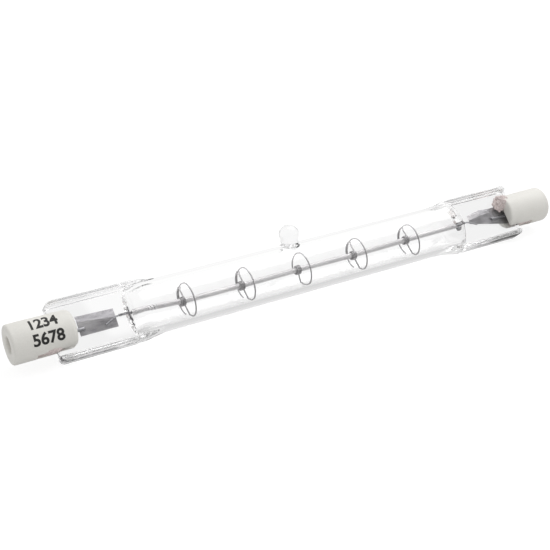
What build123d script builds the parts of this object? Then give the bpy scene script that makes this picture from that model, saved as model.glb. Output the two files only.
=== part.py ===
# Double-ended quartz lamp of the 118 mm linear class, lying on a flat surface.
# The lamp axis runs along X. Its press seals are turned about that axis until the lower edge of
# each seal and the tube both touch the ground, which is how such a lamp comes to rest.
from build123d import *
import os
from math import asin, atan2, cos, degrees, hypot, radians, sin, tan

# Whole lamp
overall_length = 117.6
tube_diameter = 10.0
tube_wall = 1.1

# Press seals, as distances from the lamp's outer end
seal_start = 7.8
seal_shoulder = 21.7
shoulder_bow = 1.0
shoulder_length = 3.7
seal_overhang = 0.55
flange_thickness = 3.4
flange_width = 0.95
web_thickness = 2.2
flange_run_out = 4.0
seal_corner = 1.1
flange_edge = 0.35

# Exhaust tip
tip_place = -2.4
tip_height = 3.9
tip_neck = 3.3
tip_neck_height = 0.7
tip_bulb = 3.9
tip_bulb_height = 2.3
tip_channel = 1.3
tip_turn = 55.0

# Ceramic caps
cap_diameter = 7.2
cap_length = 11.6
cap_end_rounding = 1.0
prong_draft = 0.04
cap_rim_chamfer = 0.3
recess_diameter = 3.1
recess_depth = 1.7
recess_chamfer = 0.2
slot_floor = 4.1
slot_clearance = 0.15
cement_set_back = 0.35

# Contacts
contact_head_diameter = 2.0
contact_head = 0.8
contact_dome = 0.3
contact_shank_diameter = 1.1
contact_shank = 1.0
contact_clearance = 0.1

# Foils and leads
foil_width = 3.7
foil_start = 12.5
foil_end = 19.6
foil_thickness = 0.06
outer_lead_diameter = 0.7
outer_lead_lap = 1.0
outer_lead_offset = 0.7
outer_lead_bend = 2.0
inner_lead_diameter = 0.32
inner_lead_lap = 2.2
inner_lead_offset = 1.0
inner_lead_bend = 2.5
overwind_wire = 0.13
overwind_start = 20.2

# Filament and its supports
filament_start = 22.6
filament_grip = 2.0
coil_wire = 0.24
support_wire = 0.3
support_places = (-25.3, -13.1, -0.9, 11.8, 24.4)
support_sags = (0.5, 0.5, 0.35, 0.4, 0.15)
support_angles = (27.0, 22.0, 40.0, 25.0, 30.0)
support_arcs = (325.0, 335.0, 250.0, 330.0, 320.0)
support_tails = (70.0, 65.0, 0.0, 60.0, 75.0)
support_turns = 2
wire_sides = 5
wrap_gap = 0.04
support_clearance = 0.3
wrap_clearance = 0.07
hook_radius = 0.45
hook_turn = 75.0
hook_spoke = 1.1
tail_angle = 170.0
tail_spoke = 1.9

# Values that follow from the sizes above
half_length = overall_length / 2
tube_radius = tube_diameter / 2
bore_radius = tube_radius - tube_wall
cap_radius = cap_diameter / 2
prong_end_radius = cap_radius - prong_draft
seal_half_width = tube_radius + seal_overhang
pocket_half_width = seal_half_width - flange_width
slot_half = web_thickness / 2 + slot_clearance
shoulder_edge = seal_shoulder + shoulder_bow
shoulder_end = seal_shoulder + shoulder_length
run_out_start = shoulder_end - shoulder_length / 3
overwind_radius = inner_lead_diameter / 2 + overwind_wire
coil_radius = overwind_radius + coil_wire
wrap_radius = coil_radius + wrap_clearance + support_wire / 2
loop_radius = bore_radius - support_clearance - support_wire / 2
foil_level = -(inner_lead_diameter + foil_thickness) / 2
outer_lead_level = foil_level + (foil_thickness + outer_lead_diameter) / 2
contact_back = recess_depth + contact_head
shank_end = contact_back + contact_shank

# The seal is turned until its lower rounded corner is as far below the axis as the tube is
corner_out = seal_half_width - flange_edge
corner_up = flange_thickness / 2 - flange_edge
corner_turn = asin((tube_radius - flange_edge) / hypot(corner_out, corner_up))
rest_angle = degrees(corner_turn - atan2(corner_up, corner_out))
width_way = Vector(0, cos(radians(rest_angle)), sin(radians(rest_angle)))
face_way = Vector(0, -sin(radians(rest_angle)), cos(radians(rest_angle)))
axis_point = Vector(0, 0, tube_radius)
down = Vector(0, 0, -1)

lamp = Plane(origin=axis_point, x_dir=(1, 0, 0), z_dir=face_way)
lengthwise = Plane(origin=axis_point, x_dir=(1, 0, 0), z_dir=(0, -1, 0))
lamp_axis = Axis(axis_point, (1, 0, 0))
ends = ((-1, "left"), (1, "right"))

os.makedirs("parts", exist_ok=True)


def at(side, distance):
    """Place along X of a point that lies a distance in from the lamp's end on that side."""
    return side * (half_length - distance)


def spot(along, across=0.0, up=0.0):
    """World point from a place along the lamp, across the seal and up from its middle plane."""
    return lamp.from_local_coords(Vector(along, across, up))


def slice_plane(along):
    """Plane across the lamp, with its own X along the seal's width."""
    return Plane(origin=spot(along), x_dir=width_way, z_dir=(1, 0, 0))


def seal_plane(up):
    """Plane parallel to the flat of the seals."""
    return Plane(origin=spot(0, 0, up), x_dir=(1, 0, 0), z_dir=face_way)


def bend_radii(points, limit):
    """Easiest bend that each inner corner of a wire's route leaves room for, up to a limit."""
    radii = []
    for before, corner, after in zip(points, points[1:], points[2:]):
        run_in, run_out = corner - before, after - corner
        turn = radians(run_in.get_angle(run_out))
        radii.append(min(limit, 0.45 * min(run_in.length, run_out.length) / tan(turn / 2)))
    return radii


def wire_along(points, radius, bend):
    """Round wire, swept along a route of straight runs and tangent bends."""
    with BuildPart() as wire:
        with BuildLine() as route:
            FilletPolyline(*points, radius=bend_radii(points, bend))
        with BuildSketch(Plane(origin=route.line @ 0, z_dir=route.line % 0)):
            Circle(radius)
        sweep(path=route.line)
    return wire.part


def foil(side):
    """Thin ribbon with feathered long edges, sealed in the flat of the glass."""
    crown = foil_thickness / 2
    with BuildPart() as ribbon:
        with BuildSketch(slice_plane(at(side, foil_start))):
            with BuildLine():
                Polyline(
                    (-foil_width / 2, foil_level),
                    (0, foil_level + crown),
                    (foil_width / 2, foil_level),
                    (0, foil_level - crown),
                    close=True,
                )
            make_face()
        extrude(amount=-side * (foil_end - foil_start))
    return ribbon.part


def outer_lead(side):
    """Stout wire from the back of the contact to its lap on the foil."""
    level = outer_lead_level
    offset = -outer_lead_offset
    seal_entry = spot(at(side, seal_start), offset, level)
    points = [
        spot(at(side, shank_end)),
        spot(at(side, slot_floor + 0.5)),
        seal_entry - Vector(side * -0.5, 0, 0),
        spot(at(side, foil_start + outer_lead_lap), offset, level),
    ]
    return wire_along(points, outer_lead_diameter / 2, outer_lead_bend)


def inner_lead(side):
    """Thin wire from its lap on the foil into the bore of the filament."""
    points = [
        spot(at(side, foil_end - inner_lead_lap), -inner_lead_offset),
        spot(at(side, foil_end)),
        spot(at(side, filament_start + filament_grip)),
    ]
    return wire_along(points, inner_lead_diameter / 2, inner_lead_bend)


def lead_overwind(side):
    """Fine winding that thickens the inner lead until it fills the filament's bore."""
    with BuildPart() as sleeve:
        with BuildSketch(slice_plane(at(side, overwind_start))):
            Circle(overwind_radius)
            Circle(inner_lead_diameter / 2, mode=Mode.SUBTRACT)
        extrude(amount=-side * (filament_start + filament_grip - overwind_start))
    return sleeve.part


def exhaust_tip():
    """Pip left where the pumping tube was melted off, drawn from its base to its round top."""
    lean = radians(tip_turn)
    upright = face_way * cos(lean) + width_way * sin(lean)
    base = tube_radius - tube_wall / 2
    neck_height = tube_radius + tip_neck_height
    bulb_height = tube_radius + tip_bulb_height
    top = tube_radius + tip_height
    profile = Plane(origin=spot(tip_place), x_dir=(1, 0, 0), z_dir=upright.cross(Vector(-1, 0, 0)))
    with BuildPart() as tip:
        with BuildSketch(profile):
            with BuildLine():
                Line((0, top), (0, base))
                Line((0, base), (tip_bulb / 2, base))
                Spline(
                    (tip_bulb / 2, base),
                    (tip_neck / 2, neck_height),
                    (tip_bulb / 2, bulb_height),
                    (0, top),
                    tangents=((-0.3, 1), (-1, 0)),
                )
            make_face()
        revolve(axis=Axis(spot(tip_place), upright))
    with BuildPart() as channel:
        with BuildSketch(profile):
            with BuildLine():
                Polyline(
                    (0, bore_radius - tube_wall),
                    (tip_channel / 2, bore_radius - tube_wall),
                    (tip_channel / 2, neck_height),
                    (0, bulb_height),
                    close=True,
                )
            make_face()
        revolve(axis=Axis(spot(tip_place), upright))
    return tip.part, channel.part


def shoulder(side, radius, edge_half, end_half, start, end):
    """Dome between the round tube and the flat seal, lofted through quarter-ellipse stations."""
    stations = 4
    with BuildPart() as dome:
        for station in range(stations):
            turn = radians(90 * station / (stations - 1))
            along = at(side, start - (start - end) * sin(turn))
            half_height = end_half + (radius - end_half) * cos(turn)
            half_width = edge_half + (radius - edge_half) * cos(turn)
            with BuildSketch(slice_plane(along)):
                Ellipse(half_width, half_height)
        loft()
    return dome.part


def seal(side):
    """Press seal: a flat web between two raised edge flanges, which fade into the tube."""
    outer, inner = at(side, seal_start), at(side, run_out_start)
    with BuildPart() as pinch:
        with BuildSketch(seal_plane(-flange_thickness / 2)):
            with BuildLine():
                Polyline(
                    (outer, -seal_half_width),
                    (outer, seal_half_width),
                    (inner, seal_half_width),
                    (inner, -seal_half_width),
                    close=True,
                )
            make_face()
            fillet(vertices().group_by(Axis.X)[0 if side < 0 else -1], seal_corner)
        extrude(amount=flange_thickness)
        long_edges = [
            edge
            for edge in edges()
            if abs(edge.center().X) > abs(inner) + flange_edge and edge.length > flange_edge
            and abs(abs((edge.center() - axis_point).dot(face_way)) - flange_thickness / 2) < 0.001
        ]
        fillet(long_edges, flange_edge)
        with BuildSketch(slice_plane(inner)):
            RectangleRounded(2 * seal_half_width, flange_thickness, flange_edge)
        with BuildSketch(slice_plane(at(side, run_out_start + flange_run_out))):
            RectangleRounded(2 * (tube_radius - 0.05), flange_thickness / 2, flange_edge)
        loft()
    return pinch.part


def seal_pockets(side):
    """Hollows pressed into both faces of a seal, closed inward by the bowed shoulder line."""
    outer = at(side, seal_start - 1)
    depth = tube_radius
    with BuildPart() as pockets:
        for level, way in ((web_thickness / 2, 1), (-web_thickness / 2, -1)):
            with BuildSketch(seal_plane(level)):
                with BuildLine():
                    Polyline(
                        (at(side, shoulder_edge), pocket_half_width),
                        (outer, pocket_half_width),
                        (outer, -pocket_half_width),
                        (at(side, shoulder_edge), -pocket_half_width),
                    )
                    ThreePointArc(
                        (at(side, shoulder_edge), -pocket_half_width),
                        (at(side, seal_shoulder), 0),
                        (at(side, shoulder_edge), pocket_half_width),
                    )
                make_face()
            extrude(amount=way * depth)
    return pockets.part


def quartz_envelope(sealed_in):
    """Tube, shoulders, press seals and tip in one piece of glass, around what is sealed into it."""
    tip, channel = exhaust_tip()
    round_half = at(1, shoulder_end)
    cavity_half = at(1, shoulder_end + tube_wall / 2)
    with BuildPart() as glass:
        with BuildSketch(slice_plane(-round_half)):
            Circle(tube_radius)
        extrude(amount=2 * round_half)
        add(tip)
        for side, _ in ends:
            add(shoulder(side, tube_radius, seal_half_width - 0.2, web_thickness / 2 + 0.2,
                         shoulder_end, seal_shoulder))
            add(seal(side))
            add(seal_pockets(side), mode=Mode.SUBTRACT)
        with BuildSketch(slice_plane(-cavity_half)):
            Circle(bore_radius)
        extrude(amount=2 * cavity_half, mode=Mode.SUBTRACT)
        add(channel, mode=Mode.SUBTRACT)
        for side, _ in ends:
            add(shoulder(side, bore_radius, bore_radius - 0.3, coil_radius, shoulder_end + tube_wall / 2,
                         filament_start - 0.3), mode=Mode.SUBTRACT)
        for piece in sealed_in:
            add(piece, mode=Mode.SUBTRACT)
    return glass.part


def ceramic_cap(side):
    """Round ceramic end with a contact recess, slotted from inside to straddle the flat seal."""
    with BuildPart() as cap:
        with BuildSketch(lengthwise):
            with BuildLine():
                Polyline(
                    (at(side, 0), recess_diameter / 2 + recess_chamfer),
                    (at(side, 0), cap_radius - cap_rim_chamfer),
                    (at(side, cap_rim_chamfer), cap_radius),
                    (at(side, slot_floor), cap_radius),
                    (at(side, cap_length - cap_end_rounding), prong_end_radius),
                )
                RadiusArc(
                    (at(side, cap_length - cap_end_rounding), prong_end_radius),
                    (at(side, cap_length), prong_end_radius - cap_end_rounding),
                    cap_end_rounding * (1 if side < 0 else -1),
                )
                Polyline(
                    (at(side, cap_length), prong_end_radius - cap_end_rounding),
                    (at(side, cap_length), 0),
                    (at(side, slot_floor), 0),
                    (at(side, slot_floor), contact_shank_diameter / 2 + contact_clearance),
                    (at(side, contact_back), contact_shank_diameter / 2 + contact_clearance),
                    (at(side, contact_back), contact_head_diameter / 2 + contact_clearance),
                    (at(side, recess_depth), contact_head_diameter / 2 + contact_clearance),
                    (at(side, recess_depth), recess_diameter / 2),
                    (at(side, recess_chamfer), recess_diameter / 2),
                    (at(side, 0), recess_diameter / 2 + recess_chamfer),
                )
            make_face()
        revolve(axis=lamp_axis)
        with BuildSketch(seal_plane(0)):
            with Locations(((at(side, slot_floor) + at(side, cap_length + 1)) / 2, 0)):
                Rectangle(cap_length + 1 - slot_floor, 2 * cap_diameter)
        extrude(amount=slot_half, both=True, mode=Mode.SUBTRACT)
    return cap.part


def contact(side):
    """Domed metal button at the bottom of the recess, with a shank towards the lead."""
    head_radius = contact_head_diameter / 2
    with BuildPart() as button:
        with BuildSketch(lengthwise):
            with BuildLine():
                Polyline(
                    (at(side, recess_depth), 0),
                    (at(side, shank_end), 0),
                    (at(side, shank_end), contact_shank_diameter / 2),
                    (at(side, contact_back), contact_shank_diameter / 2),
                    (at(side, contact_back), head_radius),
                    (at(side, recess_depth + contact_dome), head_radius),
                )
                TangentArc(
                    (at(side, recess_depth), 0),
                    (at(side, recess_depth + contact_dome), head_radius),
                    tangent=(0, 1),
                )
            make_face()
        revolve(axis=lamp_axis)
    return button.part


def cement(side, lead):
    """Cement that fills the slot behind the seal and beds the prongs of the cap on its web."""
    inner = cap_length - cap_end_rounding
    with BuildPart() as filler:
        with BuildSketch(slice_plane(at(side, slot_floor))):
            Circle(cap_radius - cement_set_back)
            Rectangle(cap_diameter, 2 * slot_half, mode=Mode.INTERSECT)
        extrude(amount=-side * (inner - slot_floor))
        with BuildSketch(slice_plane(at(side, seal_start))):
            Rectangle(2 * cap_diameter, web_thickness)
        extrude(amount=-side * (inner - seal_start), mode=Mode.SUBTRACT)
        add(lead, mode=Mode.SUBTRACT)
    return filler.part


def filament():
    """The close-wound coil as a tube, sagging a little from one support to the next."""
    grip = filament_start + filament_grip + 1
    points = [spot(at(-1, filament_start)), spot(at(-1, grip))]
    for place, sag in zip(support_places, support_sags):
        points.append(spot(place) + down * sag)
    points += [spot(at(1, grip)), spot(at(1, filament_start))]
    with BuildPart() as coil:
        with BuildLine() as route:
            Polyline(*points)
        with BuildSketch(Plane(origin=points[0], z_dir=(1, 0, 0))):
            Circle(coil_radius)
            Circle(overwind_radius, mode=Mode.SUBTRACT)
        sweep(path=route.line, transition=Transition.RIGHT)
    return coil.part


def spoke_to_loop(start, heading, straight, centre):
    """Ends of a straight spoke and of the arc that carries it into the loop, and the arc's angle."""
    bend_start = start + heading * straight
    left = Vector(-heading.Y, heading.X)
    reach = bend_start - centre
    arc_radius = (loop_radius**2 - reach.length**2) / (2 * (loop_radius + reach.dot(left)))
    outward = (bend_start + left * arc_radius - centre).normalized()
    return bend_start, centre + outward * loop_radius, degrees(atan2(outward.Y, outward.X))


def filament_support(place, sag, angle, arc, tail):
    """Tungsten wire wound on the filament, with a spoke out to a loop that rides in the bore."""
    # Its own frame has the filament on Z and the hook leaving the last turn along X
    turn = radians(angle)
    leg_way = width_way * -sin(turn) + face_way * -cos(turn)
    frame = Plane(origin=spot(place) + down * sag, x_dir=leg_way, z_dir=(-1, 0, 0))
    centre = frame.to_local_coords(spot(place))
    bend = radians(hook_turn)
    hook_end = Vector(wrap_radius + hook_radius * (1 - cos(bend)), hook_radius * sin(bend))
    heading = Vector(sin(bend), cos(bend))
    bend_start, touch, touch_angle = spoke_to_loop(hook_end, heading, hook_spoke, centre)
    pitch = support_wire + wrap_gap
    with BuildPart() as form:
        with BuildLine() as wraps:
            Helix(pitch, support_turns * pitch, wrap_radius, lefthand=True)
        with BuildSketch(Plane(origin=wraps.line @ 0, x_dir=(1, 0, 0), z_dir=wraps.line % 0)):
            RegularPolygon(support_wire / 2, wire_sides)
        sweep(path=wraps.line, is_frenet=True)
        with BuildSketch(Plane(origin=(wrap_radius, 0, 0), x_dir=(1, 0, 0), z_dir=(0, 1, 0))):
            RegularPolygon(support_wire / 2, wire_sides)
        extrude(amount=support_wire / 3, both=True)
        with BuildLine() as loop:
            TangentArc((wrap_radius, 0), hook_end, tangent=(0, 1))
            Line(hook_end, bend_start)
            TangentArc(bend_start, touch, tangent=heading)
            CenterArc(centre, loop_radius, touch_angle, arc)
        with BuildSketch(Plane(origin=loop.line @ 0, x_dir=(1, 0, 0), z_dir=loop.line % 0)):
            RegularPolygon(support_wire / 2, wire_sides)
        sweep(path=loop.line)
        if tail:
            leave = radians(tail_angle)
            leave_point = Vector(cos(leave), sin(leave)) * wrap_radius
            heading = Vector(-sin(leave), cos(leave))
            bend_start, touch, touch_angle = spoke_to_loop(leave_point, heading, tail_spoke, centre)
            with BuildLine(Plane.XY.offset(pitch)) as tail_line:
                Line(leave_point, bend_start)
                TangentArc(bend_start, touch, tangent=heading)
                CenterArc(centre, loop_radius, touch_angle, tail)
            end_plane = Plane(origin=tail_line.line @ 0, x_dir=(0, 0, 1), z_dir=tail_line.line % 0)
            with BuildSketch(end_plane):
                RegularPolygon(support_wire / 2, wire_sides)
            sweep(path=tail_line.line)
    with BuildPart() as placed:
        with Locations(frame):
            add(form.part)
    return placed.part


pieces = {"filament": filament()}
for number, shape in enumerate(
    zip(support_places, support_sags, support_angles, support_arcs, support_tails), start=1
):
    pieces[f"filament_support_{number}"] = filament_support(*shape)

sealed_in = []
for side, name in ends:
    lead = outer_lead(side)
    pieces[f"outer_lead_{name}"] = lead
    pieces[f"foil_{name}"] = foil(side)
    pieces[f"inner_lead_{name}"] = inner_lead(side)
    pieces[f"lead_overwind_{name}"] = lead_overwind(side)
    sealed_in += [pieces[f"{kind}_{name}"] for kind in ("outer_lead", "foil", "inner_lead", "lead_overwind")]
    pieces[f"ceramic_cap_{name}"] = ceramic_cap(side)
    pieces[f"contact_{name}"] = contact(side)
    pieces[f"cement_{name}"] = cement(side, lead)
pieces["quartz_envelope"] = quartz_envelope(sealed_in)

for name, piece in pieces.items():
    piece.label = name
    export_step(piece, f"parts/{name}.step")
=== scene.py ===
import logging
import math
from dataclasses import dataclass
from enum import Enum
from typing import Iterable, Sequence

import bmesh
import bpy
from bmesh.types import BMEdge, BMesh, BMVert
from bpy.types import Material, Mesh, Node, NodeSocket, NodeTree, Object
from mathutils import Matrix, Vector, noise


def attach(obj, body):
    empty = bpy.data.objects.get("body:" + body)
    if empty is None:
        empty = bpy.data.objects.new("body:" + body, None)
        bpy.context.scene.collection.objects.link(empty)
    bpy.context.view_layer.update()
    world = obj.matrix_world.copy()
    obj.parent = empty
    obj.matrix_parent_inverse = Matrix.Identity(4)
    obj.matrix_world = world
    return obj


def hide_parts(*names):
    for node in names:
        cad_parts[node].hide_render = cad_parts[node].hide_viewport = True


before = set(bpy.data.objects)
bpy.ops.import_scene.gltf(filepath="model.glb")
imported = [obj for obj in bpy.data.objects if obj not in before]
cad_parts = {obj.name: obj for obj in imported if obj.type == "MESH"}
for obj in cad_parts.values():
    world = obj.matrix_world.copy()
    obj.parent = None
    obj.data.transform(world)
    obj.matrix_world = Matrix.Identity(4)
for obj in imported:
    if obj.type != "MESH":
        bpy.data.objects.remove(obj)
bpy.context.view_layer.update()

MM = 0.001
log = logging.getLogger("quartz_lamp")

Colour = tuple[float, float, float]


class Side(Enum):
    """The two ends of the lamp, as signs along X."""

    LEFT = -1
    RIGHT = 1

    @property
    def label(self) -> str:
        """The end's name as the nodes write it."""
        return self.name.lower()


@dataclass(frozen=True)
class Layout:
    """Where the lamp lies: its axis along X, its seals turned until they touch the ground.

    Lengths are in millimetres, and the points that the methods return are in metres.
    """

    half_length: float = 58.8
    tube_radius: float = 5.0
    bore_radius: float = 3.9
    rest_angle: float = math.radians(45.4)

    @property
    def width_way(self) -> Vector:
        """Direction across the flat of the seals."""
        return Vector((0, math.cos(self.rest_angle), math.sin(self.rest_angle)))

    @property
    def face_way(self) -> Vector:
        """Direction out of the flat of the seals, on the side that looks up."""
        return Vector((0, -math.sin(self.rest_angle), math.cos(self.rest_angle)))

    def at(self, side: Side, distance: float) -> float:
        """Place along X, in millimetres, of a point that far in from the lamp's end."""
        return side.value * (self.half_length - distance)

    def spot(self, along: float, across: float = 0.0, up: float = 0.0) -> Vector:
        """Point in metres from a place along the lamp, across its seals and up from their plane."""
        point = Vector((along, 0, self.tube_radius)) + self.width_way * across + self.face_way * up
        return point * MM


LAYOUT = Layout()


def smooth_step(value: float, start: float, end: float) -> float:
    """Eased share, from 0 at start to 1 at end."""
    share = min(max((value - start) / (end - start), 0.0), 1.0)
    return share * share * (3 - 2 * share)


def quarter_dome(value: float, start: float, end: float) -> float:
    """Share that rises as a quarter of an ellipse, steep at start and level at end."""
    share = min(max((value - start) / (end - start), 0.0), 1.0)
    return math.sqrt(1 - (1 - share) ** 2)


def ripple(point: Vector, scale: float) -> float:
    """Smooth noise from about -1 to 1 at a place in metres, with scale in lumps per millimetre."""
    return noise.noise(point / MM * scale)


def verts_of(geometry: Iterable[object]) -> list[BMVert]:
    """Only the vertices of an operator's result."""
    return [item for item in geometry if isinstance(item, BMVert)]


def ring_edges(verts: Sequence[BMVert]) -> list[BMEdge]:
    """Edges that run between the given vertices."""
    chosen = set(verts)
    found = {edge for vert in verts for edge in vert.link_edges if all(end in chosen for end in edge.verts)}
    return sorted(found, key=lambda edge: edge.index)


def next_ring(shape: BMesh, ring: Sequence[BMVert]) -> list[BMVert]:
    """Extrudes a closed ring and returns the new one's vertices in the same order."""
    edges = [next(e for e in vert.link_edges if e.other_vert(vert) == after)
             for vert, after in zip(ring, [*ring[1:], ring[0]])]
    fresh = set(verts_of(bmesh.ops.extrude_edge_only(shape, edges=edges)["geom"]))
    return [next(e.other_vert(vert) for e in vert.link_edges if e.other_vert(vert) in fresh) for vert in ring]


def close_rings(shape: BMesh, *rings: Sequence[BMVert]) -> None:
    """Fills each ring given with one face."""
    for ring in rings:
        bmesh.ops.contextual_create(shape, geom=ring_edges(ring))


def face_outward(shape: BMesh) -> None:
    """Turns every face of a closed shape outward."""
    bmesh.ops.recalc_face_normals(shape, faces=shape.faces[:])


def fillet(run: float, rise: float, steps: int) -> list[tuple[float, float]]:
    """Points of a quarter round, from (run, 0) to (0, rise)."""
    bends = [math.pi / 2 * step / steps for step in range(steps + 1)]
    return [(run * (1 - math.sin(bend)), rise * (1 - math.cos(bend))) for bend in bends]


def to_mesh(shape: BMesh, name: str) -> Mesh:
    """Mesh of a bmesh, which is freed."""
    mesh = bpy.data.meshes.new(name)
    shape.to_mesh(mesh)
    shape.free()
    return mesh


def move_into(shape: BMesh, other: BMesh) -> None:
    """Adds another bmesh's faces to a shape and frees the other."""
    mesh = to_mesh(other, "moved")
    shape.from_mesh(mesh)
    bpy.data.meshes.remove(mesh)


def put_in_scene(name: str, data: bpy.types.ID) -> Object:
    """New object that shows the data given."""
    thing = bpy.data.objects.new(name, data)
    bpy.context.scene.collection.objects.link(thing)
    return thing


def shade(mesh: Mesh, sharp_angle: float) -> None:
    """Shades a mesh smooth, apart from edges that turn by more than an angle in degrees."""
    mesh.shade_smooth()
    mesh.set_sharp_from_angle(angle=math.radians(sharp_angle))


def finish_piece(
    name: str,
    shape: BMesh,
    material: Material,
    replaces: Sequence[str] = (),
    sharp_angle: float = 35.0,
) -> Object:
    """Turns a finished bmesh into a piece that rides on the lamp.

    Args:
        name: The piece's name.
        shape: Its bmesh, which is freed.
        material: Its finish.
        replaces: The CAD nodes that it stands for.
        sharp_angle: Edges that turn by more than this, in degrees, stay crisp.

    Returns:
        The new object, at the origin.
    """
    mesh = to_mesh(shape, name)
    mesh.materials.append(material)
    shade(mesh, sharp_angle)
    piece = put_in_scene(name, mesh)
    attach(piece, "root")
    if replaces:
        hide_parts(*replaces)
    log.info("%s: %d faces", name, len(mesh.polygons))
    return piece


def evaluated_mesh(piece: Object) -> Mesh:
    """New mesh of an object as its modifiers or its text leave it."""
    return bpy.data.meshes.new_from_object(piece.evaluated_get(bpy.context.evaluated_depsgraph_get()))


def apply_modifiers(piece: Object, sharp_angle: float) -> None:
    """Bakes a piece's modifiers into its mesh and marks its crisp edges again."""
    mesh = evaluated_mesh(piece)
    piece.modifiers.clear()
    piece.data = mesh
    shade(mesh, sharp_angle)


def sweep_wire(shape: BMesh, route: Sequence[Vector], radius: float, sides: int = 10) -> None:
    """Extrudes a round section along a route of close points in metres, without twist."""
    heading = (route[1] - route[0]).normalized()
    across = heading.orthogonal().normalized()
    places = []
    for index, point in enumerate(route):
        before, after = route[max(index - 1, 0)], route[min(index + 1, len(route) - 1)]
        turned = (after - before).normalized()
        across = (across - turned * across.dot(turned)).normalized()
        axes = Matrix((across, turned.cross(across), turned)).transposed().to_4x4()
        places.append(Matrix.Translation(point) @ axes)
    ring = bmesh.ops.create_circle(shape, cap_ends=False, segments=sides, radius=radius, matrix=places[0])["verts"]
    first = ring
    for place, following in zip(places, places[1:]):
        ring = verts_of(bmesh.ops.extrude_edge_only(shape, edges=ring_edges(ring))["geom"])
        bmesh.ops.transform(shape, matrix=following @ place.inverted(), verts=ring)
    close_rings(shape, first, ring)
    face_outward(shape)


def arc_points(centre: Vector, radius: float, start: float, turn: float, step: float) -> list[Vector]:
    """Points along a flat arc about a centre, with its angles in degrees from X towards Y."""
    count = max(2, math.ceil(abs(turn) / step))
    angles = [math.radians(start + turn * index / count) for index in range(count + 1)]
    return [centre + Vector((math.cos(angle), math.sin(angle), 0)) * radius for angle in angles]


class Socket(Enum):
    """Kinds of socket that a shader group has."""

    COLOUR = "NodeSocketColor"
    VALUE = "NodeSocketFloat"
    VECTOR = "NodeSocketVector"


class Shading:
    """Adds nodes to one shader tree, with each input given as a value or as the socket that feeds it."""

    def __init__(self, tree: NodeTree) -> None:
        self.nodes, self.links = tree.nodes, tree.links

    def feed(self, node: Node | str, inputs: dict[str | int, object]) -> None:
        """Sets or links inputs of a node, which may be given by its name."""
        node = self.nodes[node] if isinstance(node, str) else node
        for name, value in inputs.items():
            if isinstance(value, NodeSocket):
                self.links.new(value, node.inputs[name])
            else:
                node.inputs[name].default_value = value

    def add(self, kind: str, inputs: dict[str | int, object] | None = None, **settings: object) -> Node:
        """New shader node with its settings and then its inputs."""
        node = self.nodes.new(f"ShaderNode{kind}")
        for name, value in settings.items():
            setattr(node, name, value)
        self.feed(node, inputs or {})
        return node

    def math(self, operation: str, *values: object) -> NodeSocket:
        """Result of an operation on values or sockets."""
        return self.add("Math", dict(enumerate(values)), operation=operation).outputs["Value"]

    def vector(self, operation: str, first: object, second: object, result: str = "Vector") -> NodeSocket:
        """Result of a vector operation on values or sockets."""
        return self.add("VectorMath", {0: first, 1: second}, operation=operation).outputs[result]

    def ramp(self, source: NodeSocket, start: float, end: float, low: object = 0.0, high: object = 1.0,
             easing: str = "LINEAR") -> NodeSocket:
        """Value that goes from low to high as the source goes from start to end."""
        inputs = {"Value": source, "From Min": start, "From Max": end, "To Min": low, "To Max": high}
        return self.add("MapRange", inputs, interpolation_type=easing).outputs["Result"]

    def mix(self, factor: NodeSocket, low: object, high: object, data_type: str = "FLOAT") -> NodeSocket:
        """Blend of two values or colours."""
        return self.add("Mix", {"Factor": factor, "A": low, "B": high}, data_type=data_type).outputs["Result"]


def start_material(name: str) -> tuple[Material, Shading]:
    """New material and the means to add to its nodes."""
    material = bpy.data.materials.new(name)
    material.use_nodes = True
    return material, Shading(material.node_tree)


def make_grain_group() -> NodeTree:
    """Shader group that breaks a plain finish up into two tones, uneven gloss and a fine relief."""
    tree = bpy.data.node_groups.new("grain", "ShaderNodeTree")
    inputs = dict.fromkeys(("Scale", "Stretch", "Roughness Low", "Roughness High", "Relief"), Socket.VALUE)
    outputs = {"Color": Socket.COLOUR, "Roughness": Socket.VALUE, "Normal": Socket.VECTOR}
    for way, sockets in (("INPUT", dict.fromkeys(("Light Tone", "Dark Tone"), Socket.COLOUR) | inputs),
                         ("OUTPUT", outputs)):
        for name, kind in sockets.items():
            tree.interface.new_socket(name=name, in_out=way, socket_type=kind.value)
    shading = Shading(tree)
    given, result = tree.nodes.new("NodeGroupInput").outputs, tree.nodes.new("NodeGroupOutput")
    place = shading.add("TexCoord").outputs["Object"]
    stretch = shading.add("CombineXYZ", {"X": given["Stretch"], "Y": 1, "Z": 1}).outputs["Vector"]
    grain = {"Vector": shading.vector("MULTIPLY", place, stretch), "Scale": given["Scale"], "Detail": 4}
    speckle = shading.add("TexNoise", grain).outputs["Fac"]
    cloud = shading.add("TexNoise", {"Vector": place, "Scale": 300}).outputs["Fac"]
    spread = shading.ramp(shading.math("MULTIPLY_ADD", cloud, 0.5, speckle), 0.55, 0.95)
    relief = shading.add("Bump", {"Strength": 1, "Height": speckle, "Distance": given["Relief"]})
    shading.feed(result, {
        "Color": shading.mix(spread, given["Dark Tone"], given["Light Tone"], "RGBA"),
        "Roughness": shading.ramp(speckle, 0, 1, given["Roughness Low"], given["Roughness High"]),
        "Normal": relief.outputs["Normal"],
    })
    return tree


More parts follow.
